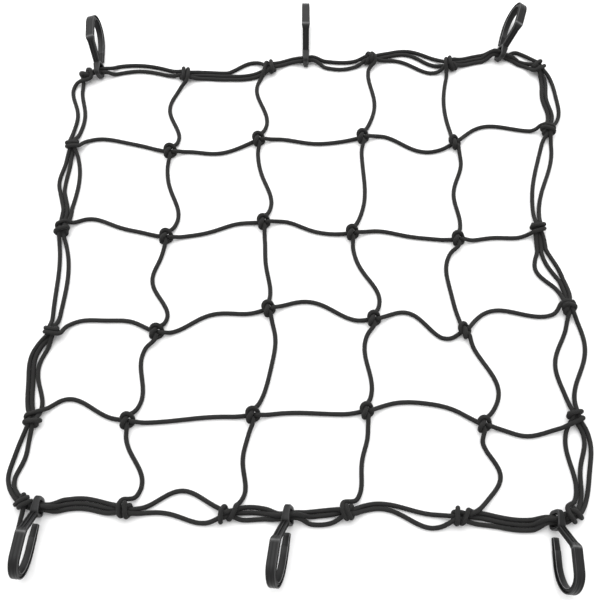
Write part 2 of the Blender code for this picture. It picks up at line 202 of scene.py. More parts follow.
def eye_centre_height(lean):
    """The height of the middle of a leaning hook's eye when its lowest edge is on the table."""
    angle = math.radians(abs(lean))
    return EYE_WIDTH / 2 * math.sin(angle) + EYE_HEIGHT / 2 * math.cos(angle)


def spread(asides):
    """Pushes strands apart until they lie side by side at least a strand's spacing apart."""
    for _ in range(SPREAD_ROUNDS):
        for index in range(len(asides) - 1):
            short = STRAND_SPACING - (asides[index + 1] - asides[index])
            if short > 0:
                asides[index] -= short / 2
                asides[index + 1] += short / 2
    return asides


def bay_section(side, bay, line, along):
    """The places of all the strands of a bay at one distance along it."""
    strands = edge_strands(side, bay)
    count = len(strands)
    share = along / line.length
    homes = [(index - (count - 1) / 2) * STRAND_SPACING for index in range(count)]
    asides = spread([home + wave(shifts, share) for home, shifts in zip(homes, strands)])
    height = CORD_RADIUS + rise_near(along) + rise_near(line.length - along)
    heights = [height] * count
    for name, hook_side, hook_bay, place, turn, lean in HOOKS:
        if (hook_side, hook_bay) != (side, bay):
            continue
        away = along - place * MM
        pinch = 1 - smooth((abs(away) - PINCH_FLAT) / (PINCH_REACH - PINCH_FLAT))
        low = eye_centre_height(lean) - STACK / 2 + math.tan(math.radians(lean)) * away * pinch
        middle = bay_middle(side, bay, place * MM)
        # Two strands lie side by side in the eye, and a third lies on top of them.
        for index in range(count):
            target = (index - 1) * STRAND_SPACING / 2 if count == 3 else (index - 0.5) * STRAND_SPACING
            stacked = STACK * math.sqrt(pinch) if count == 3 and index == 1 else 0
            asides[index] += (middle + target - asides[index]) * pinch
            heights[index] += (low - heights[index]) * pinch + stacked
    return [line.place(along, aside, height) for aside, height in zip(asides, heights)]


def edge_bay(side, bay):
    """The routes of a bay's strands from its first knot to its last, the outermost strand first."""
    line = edge_line(side, bay)
    sections = [bay_section(side, bay, line, along) for along in line.marks()]
    routes = [np.array([section[index] for section in sections]) for index in range(len(sections[0]))]
    return routes if side in ("near", "left") else routes[::-1]


edge_routes = {}
for side in ("far", "near", "left", "right"):
    for bay in range(1, BAYS + 1):
        edge_routes[side, bay] = edge_bay(side, bay)


# ---- The strands of the mesh ----
# A second cord of the same kind zig-zags over the four rows and then the four columns, and runs along the
# edge from one to the next. Its end sticks out of the near left corner knot, cut and melted.

# Columns: row or column, bay, bow, sway, curl.
ACROSS = (
    (1, 1, 10, 2, 1),
    (1, 2, -5, 2, 1),
    (1, 3, -2, 2, 1),
    (1, 4, -4, 6, 1),
    (1, 5, 12, 4, 0),
    (2, 1, 11, 4, 2),
    (2, 2, 2, -2, 1),
    (2, 3, 2, 3, 1),
    (2, 4, 4, 2, 1),
    (2, 5, -3, 2, -1),
    (3, 1, 14, 0, 2),
    (3, 2, 5, -1, -2),
    (3, 3, 9, 4, -1),
    (3, 4, 5, 8, -2),
    (3, 5, 7, 7, 0),
    (4, 1, 15, 5, 0),
    (4, 2, 1, -1, 0),
    (4, 3, 2, 1, 0),
    (4, 4, 14, 0, 1),
    (4, 5, -5, 1, 1),
)
DOWN = (
    (1, 1, -3, -5, 3),
    (1, 2, 6, -5, 1),
    (1, 3, -1, -5, 4),
    (1, 4, 1, -5, 0),
    (1, 5, 9, -5, 0),
    (2, 1, -2, -7, 0),
    (2, 2, 5, -4, 1),
    (2, 3, 2, -1, 1),
    (2, 4, 10, 1, 1),
    (2, 5, 5, -4, 2),
    (3, 1, 6, -3, -1),
    (3, 2, 7, -2, 0),
    (3, 3, 5, -5, 1),
    (3, 4, -1, -4, 0),
    (3, 5, 6, -1, 2),
    (4, 1, -7, 0, 0),
    (4, 2, 1, 1, 3),
    (4, 3, -10, -2, -1),
    (4, 4, 15, -4, 0),
    (4, 5, 11, -4, -2),
)
# Two strands meet the edge beside the knot: row or column, then the place in mm.
ACROSS_FEET = {4: (178, -135)}
DOWN_FEET = {4: (113, -194)}
LOOSE_END = ((-198, -189), (-197, -196), (-198, -204), (-199, -213))


def mesh_route(first, last, shifts, foot):
    """The route of one strand of the mesh between two knots."""
    line = Line(knot_at(*first), on_table(foot) if foot else knot_at(*last))
    points = []
    for along in line.marks():
        height = CORD_RADIUS + rise_near(along) + rise_near(line.length - along)
        points.append(line.place(along, wave(shifts, along / line.length), height))
    return np.array(points)


def mesh_row(row):
    """The strands of a row from left to right."""
    bays = [(bay, shifts) for line, bay, *shifts in ACROSS if line == row]
    feet = {BAYS: ACROSS_FEET.get(row)}
    return [mesh_route((row, bay - 1), (row, bay), shifts, feet.get(bay)) for bay, shifts in bays]


def mesh_column(column):
    """The strands of a column from the far edge to the near edge."""
    bays = [(bay, shifts) for line, bay, *shifts in DOWN if line == column]
    feet = {BAYS: DOWN_FEET.get(column)}
    return [mesh_route((bay - 1, column), (bay, column), shifts, feet.get(bay)) for bay, shifts in bays]


def loose_end():
    """The end that sticks out of the near left corner knot."""
    spots = [on_table(place) for place in LOOSE_END]
    points = []
    for spot in spots:
        height = CORD_RADIUS + rise_near((spot - spots[0]).length)
        points.append(Vector((spot.x, spot.y, height)))
    return np.array(points)


# ---- How the cords run through the knots ----
# Each cord is one run of legs with a knot between any two of them. The edge cord goes twice round the square.
# The mesh cord covers the rows from the far one to the near one, and then the columns from right to left.


def turned(legs):
    """Legs in the other direction."""
    return [leg[::-1] for leg in reversed(legs)]


def third(side, bay):
    """The strand of the mesh cord in a bay of the edge: the innermost one."""
    return edge_routes[side, bay][2]


def round_once(strand):
    """One round of the square clockwise from the far left corner, in the outer or the inner strand."""
    bays = range(1, BAYS + 1)
    far = [edge_routes["far", bay][strand] for bay in bays]
    right = [edge_routes["right", bay][strand] for bay in bays]
    near = [edge_routes["near", bay][strand] for bay in bays]
    left = [edge_routes["left", bay][strand] for bay in bays]
    return far + right + turned(near) + turned(left)


edge_legs = round_once(0) + round_once(1)
mesh_legs = (
    [third("far", 5), third("right", 1)]
    + turned(mesh_row(1))
    + [third("left", 2)]
    + mesh_row(2)
    + [third("right", 3)]
    + turned(mesh_row(3))
    + [third("left", 4)]
    + mesh_row(4)
    + [third("right", 5)]
    + turned([third("near", 5)])
    + turned(mesh_column(4))
    + turned([third("far", 4)])
    + mesh_column(3)
    + turned([third("near", 3)])
    + turned(mesh_column(2))
    + turned([third("far", 2)])
    + mesh_column(1)
    + turned([third("near", 1)])
    + [loose_end()]
)


# ---- The knots ----
# Each is tied by hand in one of the cords round what passes through it: a half knot where a column crosses a
# row, and two turns over the cord's own end at the edge. A short simulation draws them tight on the table.

CORD = 2 * CORD_RADIUS
# A leg ends this far from the middle of its knot, and the knot takes over its last points.
KNOT_REACH = 9.5 * MM
HELD = 3
# Columns: how near two cords come, middle to middle, then the knot's height and how far it is drawn askew.
# The edge knots are drawn tighter, and the half knots are pressed flatter.
CROSSING_DRAW = (1.0 * CORD, 9.3 * MM, math.radians(25))
EDGE_DRAW = (0.9 * CORD, 11.0 * MM, math.radians(10))
ROUGH_ROUNDING = 3
RING_STEP = 1.1 * MM
# Points of one cord that are nearer than this along it don't push each other apart.
NEXT_POINTS = 4
FIXED_ENDS = 2
PULL = 0.45
PUSH = 0.4
PASSES = 420
# At the end the pull is let off, so that the cords press into each other less.
LET_OFF_PULL = 0.12
LET_OFF_PASSES = 60
# It keeps the distance from a point to itself above zero.
TINY = 1e-9

# The way of the tying cord, in cord thicknesses from the middle of what it ties. X runs along what is tied,
# Y towards where the cord comes from, and Z up.
HALF_KNOT = (
    (0.6, 2.2, 0.1),
    (0.35, 1.2, 0.9),
    (0.1, 0.0, 2.0),
    (-0.3, -1.2, 0.9),
    (-0.2, -1.1, -0.6),
    (0.1, 0.0, -1.05),
    (0.9, 1.2, -0.4),
    (1.3, 1.5, 0.9),
    (0.4, 1.7, 1.9),
    (-0.7, 1.3, 1.6),
    (-1.1, 0.5, 1.1),
    (-0.4, -0.1, 1.0),
    (0.9, -1.2, 0.5),
    (0.6, -2.4, -0.4),
)
# The two turns go from the exit side back over the end that leaves between them and the edge strands.
TWO_TURNS = (
    (1.3, 2.2, 0.0),
    (0.8, 1.5, 0.9),
    (0.6, 0.0, 2.0),
    (0.5, -1.5, 0.9),
    (0.4, -1.5, -0.6),
    (0.1, 0.0, -1.05),
    (-0.2, 1.5, -0.6),
    (-0.4, 1.5, 0.9),
    (-0.6, 0.0, 2.0),
    (-0.8, -1.5, 0.9),
    (-0.9, -1.5, -0.6),
    (-1.2, 0.0, -1.05),
    (-1.8, 1.4, -0.6),
    (-2.1, 1.3, 0.6),
    (-1.6, 0.4, 1.1),
    (-0.6, 0.0, 1.0),
    (0.6, 0.0, 1.0),
    (1.8, 0.3, 0.6),
)
# Round a corner the tying cord comes along the other side and passes the turns on the inside.
ROUND_THE_INSIDE = ((-1.8, 2.4, -0.2), (-0.2, 2.9, -0.2))
# The knot that the mesh cord starts in, as (row, column), and how its end lies there.
MESH_START = (0, 4)
HIDDEN_END = (-0.6, 0.0, 0.7, 1.4)
# How the other cords pass through a knot, how far apart they lie there, and how high the knot's middle is.
STRAIGHT_THROUGH = (-1.4, 0, 1.4)
SIDE_BY_SIDE = 1.04
KNOT_MIDDLE = 1.55


def nearest_knot(point):
    """The knot nearest to a point, as (distance, row, column)."""
    cells = [(row, column) for row in range(BAYS + 1) for column in range(BAYS + 1)]
    return min(((Vector(point[:2]) - knot_at(*cell)).length, *cell) for cell in cells)


def trimmed(leg):
    """The part of a leg that is outside all knots."""
    return np.array([point for point in leg if nearest_knot(point)[0] > KNOT_REACH])


def resampled(points, step):
    """The same path with its points evenly apart."""
    lengths = np.r_[0, np.cumsum(np.linalg.norm(np.diff(points, axis=0), axis=1))]
    marks = np.linspace(0, lengths[-1], max(round(lengths[-1] / step), 2) + 1)
    return np.column_stack([np.interp(marks, lengths, points[:, axis]) for axis in range(3)])


def rounded(points, rounds):
    """A path with its corners cut off, its ends kept."""
    for _ in range(rounds):
        quarters = np.empty((2 * len(points) - 2, 3))
        quarters[0::2] = 0.75 * points[:-1] + 0.25 * points[1:]
        quarters[1::2] = 0.25 * points[:-1] + 0.75 * points[1:]
        points = np.vstack([points[:1], quarters, points[-1:]])
    return points


def draw_tight(cords, touch, height):
    """Pulls cords tight between their held ends, while they keep clear of each other and of the table."""
    points = np.vstack(cords)
    owner = np.concatenate([np.full(len(cord), index) for index, cord in enumerate(cords)])
    order = np.arange(len(points))
    same = owner[:, None] == owner[None, :]
    apart = ~(same & (np.abs(order[:, None] - order[None, :]) < NEXT_POINTS))
    free = np.ones(len(points), bool)
    for index in range(len(cords)):
        mine = order[owner == index]
        free[mine[:FIXED_ENDS]] = False
        free[mine[-FIXED_ENDS:]] = False
    before = np.maximum(order - 1, 0)
    after = np.minimum(order + 1, len(points) - 1)
    for strength in [PULL] * PASSES + [LET_OFF_PULL] * LET_OFF_PASSES:
        pull = (points[before] + points[after]) / 2 - points
        gaps = points[:, None] - points[None, :]
        distances = np.linalg.norm(gaps, axis=2) + TINY
        short = np.where(apart, np.clip(touch - distances, 0, None), 0)
        push = (gaps * (short / distances)[..., None]).sum(axis=1) * PUSH
        points[free] += (strength * pull + push)[free]
        points[free, 2] = np.clip(points[free, 2], CORD_RADIUS, height - CORD_RADIUS)
    return [points[owner == index] for index in range(len(cords))]


class Knot:
    """One knot: the cords that pass through it and the frame that its shape is written in."""

    def __init__(self, row, column):
        self.centre = knot_at(row, column)
        self.crossing = 0 < row < BAYS and 0 < column < BAYS
        self.corner = row in (0, BAYS) and column in (0, BAYS)
        if self.crossing:
            self.touch, self.height, askew = CROSSING_DRAW
            self.along = (knot_at(row, column + 1) - knot_at(row, column - 1)).normalized()
            self.along.rotate(Matrix.Rotation(askew, 2))
            self.inward = Vector((-self.along.y, self.along.x))
            return
        self.touch, self.height, askew = EDGE_DRAW
        inward = Vector((0, 0))
        if column in (0, BAYS):
            inward.x = 1 if column == 0 else -1
        if row in (0, BAYS):
            inward.y = -1 if row == 0 else 1
        self.inward = inward.normalized()
        self.inward.rotate(Matrix.Rotation(askew, 2))
        self.along = Vector((self.inward.y, -self.inward.x))

    def world(self, x, y, z):
        """A place in the knot's frame, in cord thicknesses, as one in the net."""
        flat = self.centre + (self.along * x + self.inward * y) * CORD
        return (flat.x, flat.y, (z + KNOT_MIDDLE) * CORD)

    def local(self, point):
        """How far a point is along and inwards from the middle of the knot."""
        offset = Vector(point[:2]) - self.centre
        return offset.dot(self.along), offset.dot(self.inward)

    def through(self, comes, leaves, aside):
        """The cord that passes straight through."""
        middle = [self.world(x, aside, 0) for x in STRAIGHT_THROUGH]
        if self.local(comes[-1])[0] > self.local(leaves[0])[0]:
            middle.reverse()
        return np.vstack([comes, middle, leaves])

    def begun(self, leaves, aside):
        """The cord whose hidden end is held in the middle of the knot."""
        sense = 1 if self.local(leaves[0])[0] > 0 else -1
        return np.vstack([[self.world(sense * x, aside, 0) for x in HIDDEN_END], leaves])

    def tied(self, comes, leaves):
        """The cord that is tied round the others."""
        backwards = not self.corner and self.local(comes[-1])[1] < self.local(leaves[0])[1]
        if backwards:
            comes, leaves = leaves[::-1], comes[::-1]
        places = HALF_KNOT
        if not self.crossing:
            places = TWO_TURNS
            if self.local(leaves[0])[0] < 0:
                self.along = -self.along
            if self.local(comes[-1])[0] < -CORD:
                places = ROUND_THE_INSIDE + TWO_TURNS
        path = np.vstack([comes, [self.world(*place) for place in places], leaves])
        return path[::-1] if backwards else path


def settle(knot, cords):
    """The cords of a knot from their rough way to where they lie when it is drawn tight."""
    rings = [resampled(rounded(cord, ROUGH_ROUNDING), RING_STEP) for cord in cords]
    return draw_tight(rings, knot.touch, knot.height)


edge_legs = [trimmed(leg) for leg in edge_legs]
mesh_legs = [trimmed(leg) for leg in mesh_legs]
knots = {}
for number, (leg, following) in enumerate(zip(edge_legs, edge_legs[1:] + edge_legs[:1])):
    cell = nearest_knot(leg[-1])[1:]
    knots.setdefault(cell, []).append(("edge", number, leg[-HELD:], following[:HELD]))
for number, (leg, following) in enumerate(zip(mesh_legs, mesh_legs[1:])):
    cell = min(nearest_knot(leg[-1]), nearest_knot(following[0]))[1:]
    knots.setdefault(cell, []).append(("mesh", number, leg[-HELD:], following[:HELD]))
# The hidden end counts as what comes before the mesh cord's first leg.
knots[MESH_START].insert(-1, ("mesh", -1, None, mesh_legs[0][:HELD]))

settled = {}
for cell, cords in knots.items():
    knot = Knot(*cell)
    # A column is tied round its row, the mesh cord round the edge cord, and the edge cord round itself.
    tying = cords[-1] if cords[-1][0] == "mesh" else cords[0]
    paths = [knot.tied(*tying[2:])]
    others = [cord for cord in cords if cord is not tying]
    for index, cord in enumerate(others):
        aside = (index - (len(others) - 1) / 2) * SIDE_BY_SIDE
        comes, leaves = cord[2:]
        paths.append(knot.begun(leaves, aside) if comes is None else knot.through(comes, leaves, aside))
    for cord, path in zip([tying] + others, settle(knot, paths)):
        settled[cord[:2]] = path


# ---- The edge cord ----
# Its two ends are tied into the far left corner knot, so it is one closed round. The sheath is braided over
# rubber strands from matt black polyester yarn. Its colour is painted lighter on what faces up, as painted
# light, and blotched with grey dust.

EASE_REACH = 5
EASE_ROUNDS = 14
BRAID_YARNS = 10
BRAID_PITCH = 1.25 * MM
# From the darkest black on the flanks and in the crevices to the lighter grey-black of what faces up: the
# lighter end is painted light, with grey dust mixed in.
DEEP_BLACK = (0.003, 0.003, 0.003, 1)
DUST_AND_PAINTED_LIGHT_BLACK = (0.025, 0.0245, 0.024, 1)


def run(name, legs, closed):
    """The whole way of a cord, through its legs and its knots, eased where one meets the other."""
    parts = [] if closed else [settled[name, -1]]
    joins = [len(part) for part in parts]
    for number, leg in enumerate(legs):
        last = len(leg) if number == len(legs) - 1 and not closed else len(leg) - HELD
        parts.append(leg[HELD:last])
        if (name, number) in settled:
            start = sum(len(part) for part in parts)
            parts.append(settled[name, number])
            joins += [start, start + len(parts[-1])]
    path = np.vstack(parts)
    order = np.arange(len(path))[:, None]
    near = (np.abs(order - np.array(joins)) <= EASE_REACH).any(axis=1)
    # The first and the last point stay where they are.
    near[[0, -1]] = False
    for _ in range(EASE_ROUNDS):
        path[near] = ((np.roll(path, 1, axis=0) + np.roll(path, -1, axis=0)) / 4 + path / 2)[near]
    return resampled(path, RING_STEP)


def round_cord(name, path, thickness):
    """A round tube along a path, with a map of its braid: yarns round it and braid pitches along it."""
    curve = bpy.data.curves.new(name, "CURVE")
    curve.dimensions = "3D"
    curve.bevel_depth = CORD_RADIUS
    curve.bevel_resolution = 4
    curve.use_fill_caps = True
    spline = curve.splines.new("POLY")
    spline.points.add(len(path) - 1)
    spline.points.foreach_set("co", np.column_stack([path, np.ones(len(path))]).ravel())
    spline.points.foreach_set("radius", thickness)
    swept = bpy.data.objects.new(name, curve)
    bpy.context.scene.collection.objects.link(swept)
    data = bpy.data.meshes.new_from_object(swept.evaluated_get(bpy.context.evaluated_depsgraph_get()))
    bpy.data.objects.remove(swept)
    cord = bpy.data.objects.new(name, data)
    bpy.context.scene.collection.objects.link(cord)
    data.shade_smooth()
    length = np.linalg.norm(np.diff(path, axis=0), axis=1).sum()
    braid_map = data.uv_layers[0]
    places = np.empty(len(braid_map.data) * 2)
    braid_map.data.foreach_get("uv", places)
    places[0::2] *= length / BRAID_PITCH
    places[1::2] *= BRAID_YARNS
    braid_map.data.foreach_set("uv", places)
    return cord


def cord_material(name):
    """A matt black sheath braided over and under. Its colour is painted lighter on what faces up, as painted
    light, blotched with grey dust, and has painted shade in the crevices between its yarns.
    """
    material = bpy.data.materials.new(name)
    material.use_nodes = True
    nodes = material.node_tree.nodes
    links = material.node_tree.links
    shader = nodes["Principled BSDF"]

    def worked_out(operation, *values):
        """The result of one sum on numbers or on the results of other nodes."""
        node = nodes.new("ShaderNodeMath")
        node.operation = operation
        for socket, value in zip(node.inputs, values):
            if isinstance(value, (int, float)):
                socket.default_value = value
            else:
                links.new(value, socket)
        return node.outputs[0]

    def yarn(share):
        """The round hump of a yarn over one unit."""
        return worked_out("MULTIPLY", worked_out("MULTIPLY", share, worked_out("SUBTRACT", 1.0, share)), 4.0)

    place = nodes.new("ShaderNodeSeparateXYZ")
    braid_map = nodes.new("ShaderNodeUVMap")
    links.new(braid_map.outputs[0], place.inputs[0])
    along, around = place.outputs[0], place.outputs[1]
    rising = worked_out("ADD", along, around)
    falling = worked_out("SUBTRACT", along, around)
    rising_yarn = yarn(worked_out("FRACT", rising))
    falling_yarn = yarn(worked_out("FRACT", falling))
    cell = worked_out("ADD", worked_out("FLOOR", rising), worked_out("FLOOR", falling))
    rising_over = worked_out("MULTIPLY", falling_yarn, worked_out("MULTIPLY_ADD", rising_yarn, 0.5, 0.5))
    falling_over = worked_out("MULTIPLY", rising_yarn, worked_out("MULTIPLY_ADD", falling_yarn, 0.5, 0.5))
    braid = nodes.new("ShaderNodeMix")
    links.new(worked_out("PINGPONG", cell, 1.0), braid.inputs[0])
    links.new(falling_over, braid.inputs[2])
    links.new(rising_over, braid.inputs[3])
    bump = nodes.new("ShaderNodeBump")
    bump.inputs["Strength"].default_value = 0.8
    bump.inputs["Distance"].default_value = 0.25 * MM
    links.new(braid.outputs[0], bump.inputs["Height"])
    links.new(bump.outputs[0], shader.inputs["Normal"])

    spot = nodes.new("ShaderNodeTexCoord")
    blotches = nodes.new("ShaderNodeTexNoise")
    blotches.inputs["Scale"].default_value = 45
    blotches.inputs["Detail"].default_value = 6
    links.new(spot.outputs["Object"], blotches.inputs["Vector"])
    # Painted light: the colour is lighter where the surface faces up and darker on the flanks, as an overhead
    # lamp would make it. The noise blotches on top of it stand for grey dust.
    facing = nodes.new("ShaderNodeSeparateXYZ")
    links.new(spot.outputs["Normal"], facing.inputs[0])
    upward_painted_light = nodes.new("ShaderNodeMapRange")
    upward_painted_light.inputs["From Min"].default_value = 0.1
    upward_painted_light.inputs["From Max"].default_value = 1.0
    upward_painted_light.inputs["To Min"].default_value = 0.25
    links.new(facing.outputs[2], upward_painted_light.inputs["Value"])
    dust_and_painted_top_light = worked_out("MULTIPLY", upward_painted_light.outputs[0], worked_out("ADD", blotches.outputs[0], 0.5))
    shade = nodes.new("ShaderNodeValToRGB")
    shade.color_ramp.elements[0].color = DEEP_BLACK
    shade.color_ramp.elements[1].color = DUST_AND_PAINTED_LIGHT_BLACK
    # Painted shade: the colour is darker in the crevices between the yarns of the braid and lighter on their
    # tops.
    painted_crevice_shade = worked_out("MULTIPLY_ADD", braid.outputs[0], 0.7, 0.3)
    links.new(worked_out("MULTIPLY", painted_crevice_shade, dust_and_painted_top_light), shade.inputs[0])
    links.new(shade.outputs[0], shader.inputs["Base Color"])
    shader.inputs["Roughness"].default_value = 0.8
    shader.inputs["Specular IOR Level"].default_value = 0.2
    shader.inputs["Sheen Weight"].default_value = 0.05
    shader.inputs["Sheen Roughness"].default_value = 0.5
    return material


edge_path = run("edge", edge_legs, True)
edge_cord = round_cord("edge_cord", edge_path, np.ones(len(edge_path)))
edge_cord.data.materials.append(cord_material("edge cord sheath"))
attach(edge_cord, "root")
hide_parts("edge_cords")


# ---- The mesh cord ----
# It is the same cord. It starts hidden in the knot of the fourth column at the far edge, and its loose end is
# melted to a small round bead so that the sheath doesn't fray.

# The cord's thickness over its last rings, as a share.
MELTED_BEAD = (1.06, 1.1, 0.98, 0.6)

mesh_path = run("mesh", mesh_legs, False)
thickness = np.ones(len(mesh_path))
thickness[-len(MELTED_BEAD) :] = MELTED_BEAD
mesh_cord = round_cord("mesh_cord", mesh_path, thickness)
mesh_cord.data.materials.append(cord_material("mesh cord sheath"))
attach(mesh_cord, "root")
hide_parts("mesh_cords", "edge_cords")


# ---- The hooks ----
# Six J hooks moulded in black plastic, each threaded on the strands of the edge through the eye at the end of
# its shank. A channel runs along each side and two grooves along the neck. The edges and the crease carry
# painted highlights in light grey.
# U runs out from the middle of the eye, V across the hook and W up from the table.

EYE_LENGTH = 13.6 * MM
# The eye is widest beside the neck and narrows to a rounded, thicker inner end.
EYE_OUTER_WIDTH = 5.8 * MM
EYE_INNER_WIDTH = 4.0 * MM
EYE_BAR = 2.0 * MM
EYE_INNER_BAR = 2.9 * MM
EYE_CORNER = 3.4 * MM
SLOT_CORNER = 1.4 * MM
EYE_STEPS = 8
EYE_ROUNDING = 0.7 * MM
EYE_EDGE_ANGLE = math.radians(60)
EYE_TAPER_SHARE = 0.75
# How much painted highlight the rounded edges of the eye carry.
EYE_HIGHLIGHT = 0.12

HOOK_WIDTH = 6.8 * MM
HOOK_THICKNESS = 3.8 * MM
HOOK_REACH = 50 * MM
HOOK_TOP = 26 * MM
CREASE_REACH = 22 * MM
# The neck, and the sharp crease where it meets the back. Columns in mm: U from the crease, W from the top,
# width, thickness and depth of the grooves. The last one is how much painted highlight the section's edges
# carry.
NECK_ROOT = (-16.4, -16.8, 5.4, 3.4, 0.6, 0)
NECK_SHOULDER = (-3.2, -4.8, 5.6, 3.4, 0.6, 0)
CREASE = (
    (-2.8, -4.4, 5.9, 3.4, 0.1, 0),
    (-1.6, -3.3, 6.4, 3.8, 0.1, 0),
    (-0.5, -2.45, 6.9, 3.8, 0.1, 0.1),
    (0, -2.15, 6.9, 3.8, 0.1, 0.5),
    (0.5, -2.05, 6.8, 3.8, 0.1, 0.1),
)
BACK_START = (1.2, -2.0, 6.8, 3.8, 0.1, 0)
NECK_STEPS = 6
BACK_STEPS = 8
# The bend is round above its middle height and long and flat below it.
BEND_HEIGHT = 14.5 * MM
BEND_UPPER = 11 * MM
BEND_LOWER = 20 * MM
BEND_STEPS = 28
BACK_GROOVE = 0.1 * MM
# The return arm steps down to a thinner tip. The columns are the same, from the eye's middle and the table.
ARM_WIDTH = 5.0 * MM
ARM_END = (20, 1.9, 5.0, 3.8, 0.1, 0.08)
TIP_START = (19.7, 1.9, 4.9, 3.3, 0.1, 0)
TIP_END = (11.5, 1.7, 4.4, 2.8, 0.1, 0)
TIP_FACE = (
    (11.5, 1.7, 4.4, 2.8, 0, 0.15),
    (11.15, 1.7, 4.1, 2.5, 0, 0.15),
    (11, 1.7, 3.5, 1.9, 0, 0.15),
)
ARM_STEPS = 4

CHANNEL = 1.1 * MM
CHANNEL_SLOPE = 0.2 * MM
RIM = 1.0 * MM
EDGE_ROUNDING = 0.35 * MM
EDGE_CUT = 0.3 * EDGE_ROUNDING
# The rim, the floor and the inner rim of a groove, as shares of half the width.
TOP_GROOVE = (0.58, 0.5, 0.26, 0.18)
# How strongly the painted highlight shows on the outer edges, as a share of the inner ones.
OUTER_HIGHLIGHT = 0.2
SHARP_ANGLE = math.radians(32)
HOOK_COLOUR = (0.004, 0.004, 0.0042, 1)
# Painted highlight: light grey painted along the edges and the crease, where the lamp would glint off them.
HIGHLIGHT_COLOUR = (0.45, 0.45, 0.455, 1)


def station(row, reach=0, height=0):
    """A section's place and sizes in metres, from a row of mm that starts at this reach and height."""
    u, w, width, thickness, groove, highlight_amount = row
    return (reach + u * MM, height + w * MM, width * MM, thickness * MM, groove * MM, highlight_amount)


def straight_run(first, last, steps):
    """Stations evenly from one station up to the next, which is left out."""
    shares = [step / steps for step in range(steps)]
    return [tuple(start + (end - start) * share for start, end in zip(first, last)) for share in shares]


def neck_and_back():
    """From the eye up the neck and over the crease to the start of the bend."""
    root, shoulder, *crease, back_start = [
        station(row, CREASE_REACH, HOOK_TOP) for row in (NECK_ROOT, NECK_SHOULDER, *CREASE, BACK_START)
    ]
    half = HOOK_THICKNESS / 2
    back_end = (HOOK_REACH - half - BEND_UPPER, HOOK_TOP - half, HOOK_WIDTH, HOOK_THICKNESS, BACK_GROOVE, 0)
    neck = straight_run(root, shoulder, NECK_STEPS) + [shoulder]
    return neck + crease + straight_run(back_start, back_end, BACK_STEPS)


def bend():
    """Half a turn down to the table, with a narrower section towards the return arm."""
    half = HOOK_THICKNESS / 2
    stations = []
    for step in range(BEND_STEPS):
        angle = math.pi / 2 - math.pi * step / BEND_STEPS
        upper = step < BEND_STEPS / 2
        reach = BEND_UPPER if upper else BEND_LOWER
        rise = HOOK_TOP - half - BEND_HEIGHT if upper else BEND_HEIGHT - half
        u = HOOK_REACH - half - reach + reach * math.cos(angle)
        w = BEND_HEIGHT + rise * math.sin(angle)
        width = HOOK_WIDTH + (ARM_WIDTH - HOOK_WIDTH) * step / BEND_STEPS
        stations.append((u, w, width, HOOK_THICKNESS, BACK_GROOVE, 0))
    return stations


def arm_and_tip():
    """From the bend back along the table to the rounded face of the tip."""
    half = HOOK_THICKNESS / 2
    arm_start = (HOOK_REACH - half - BEND_LOWER, half, ARM_WIDTH, HOOK_THICKNESS, BACK_GROOVE, 0)
    arm_end, tip_start, tip_end, *face = [station(row) for row in (ARM_END, TIP_START, TIP_END, *TIP_FACE)]
    arm = straight_run(arm_start, arm_end, ARM_STEPS) + [arm_end]
    return arm + straight_run(tip_start, tip_end, ARM_STEPS) + face


def hook_section(width, thickness, groove):
    """An I section with rounded edges and two grooves in its outer face. Columns: V, N, painted highlight of
    the edge.
    """
    side = width / 2
    top = thickness / 2
    lip = top - RIM
    edge = [(side, top - EDGE_ROUNDING, 0), (side - EDGE_CUT, top - EDGE_CUT, OUTER_HIGHLIGHT)]
    edge.append((side - EDGE_ROUNDING, top, 0))
    flank = [(side, lip, 0), (side - CHANNEL, lip - CHANNEL_SLOPE, 0)]
    depths = (0, groove, groove, 0)
    face = [(share * side, top - depth, 0) for share, depth in zip(TOP_GROOVE, depths)]
    lower = [(v, -n, highlight_amount / OUTER_HIGHLIGHT) for v, n, highlight_amount in reversed(flank + edge)]
    right = lower + flank[::-1] + edge + face
    left = [(-v, n, highlight_amount) for v, n, highlight_amount in reversed(right)]
    return right + left


def section_points(stations, index):
    """The corners of one section, square to the hook's middle line, with their painted highlight."""
    u, w, width, thickness, groove, painted_highlight = stations[index]
    before = stations[max(index - 1, 0)]
    after = stations[min(index + 1, len(stations) - 1)]
    ahead = Vector((after[0] - before[0], after[1] - before[1])).normalized()
    normal = Vector((-ahead.y, ahead.x))
    points = []
    for v, n, highlight_amount in hook_section(width, thickness, groove):
        points.append((Vector((u + normal.x * n, v, w + normal.y * n)), max(highlight_amount, painted_highlight)))
    return points


def hook_body():
    """The hook from its neck to its tip, drawn out of its first section station by station."""
    mesh = bmesh.new()
    # The share of painted highlight at each corner of the sections.
    highlight_amount = mesh.verts.layers.float.new("painted_highlight")
    stations = neck_and_back() + bend() + arm_and_tip()
    root = mesh.faces.new([mesh.verts.new(corner) for corner, painted_highlight in section_points(stations, 0)])
    face = root
    for index in range(1, len(stations)):
        drawn = bmesh.ops.extrude_face_region(mesh, geom=[face])
        # The face that was drawn out stays inside the hook unless it is taken out.
        if face is not root:
            mesh.faces.remove(face)
        face = next(element for element in drawn["geom"] if isinstance(element, bmesh.types.BMFace))
        for vert, (corner, painted_highlight) in zip(face.verts, section_points(stations, index)):
            vert.co = corner
            vert[highlight_amount] = painted_highlight
    bmesh.ops.recalc_face_normals(mesh, faces=mesh.faces)
    return mesh


def eye_loop(mesh, inner, outer, low, high, corner):
    """A loop of edges round the eye, or round its slot, from its inner to its outer end."""
    verts = []
    for quarter, (u, w) in enumerate(((outer, high), (inner, high), (inner, low), (outer, low))):
        middle_u = u - corner if u == outer else u + corner
        middle_w = w - corner if w == high else w + corner
        for step in range(EYE_STEPS + 1):
            angle = math.pi / 2 * (quarter + step / EYE_STEPS)
            spot = (middle_u + corner * math.cos(angle), -EYE_WIDTH / 2, middle_w + corner * math.sin(angle))
            verts.append(mesh.verts.new(spot))
    return [mesh.edges.new(pair) for pair in zip(verts, verts[1:] + verts[:1])]


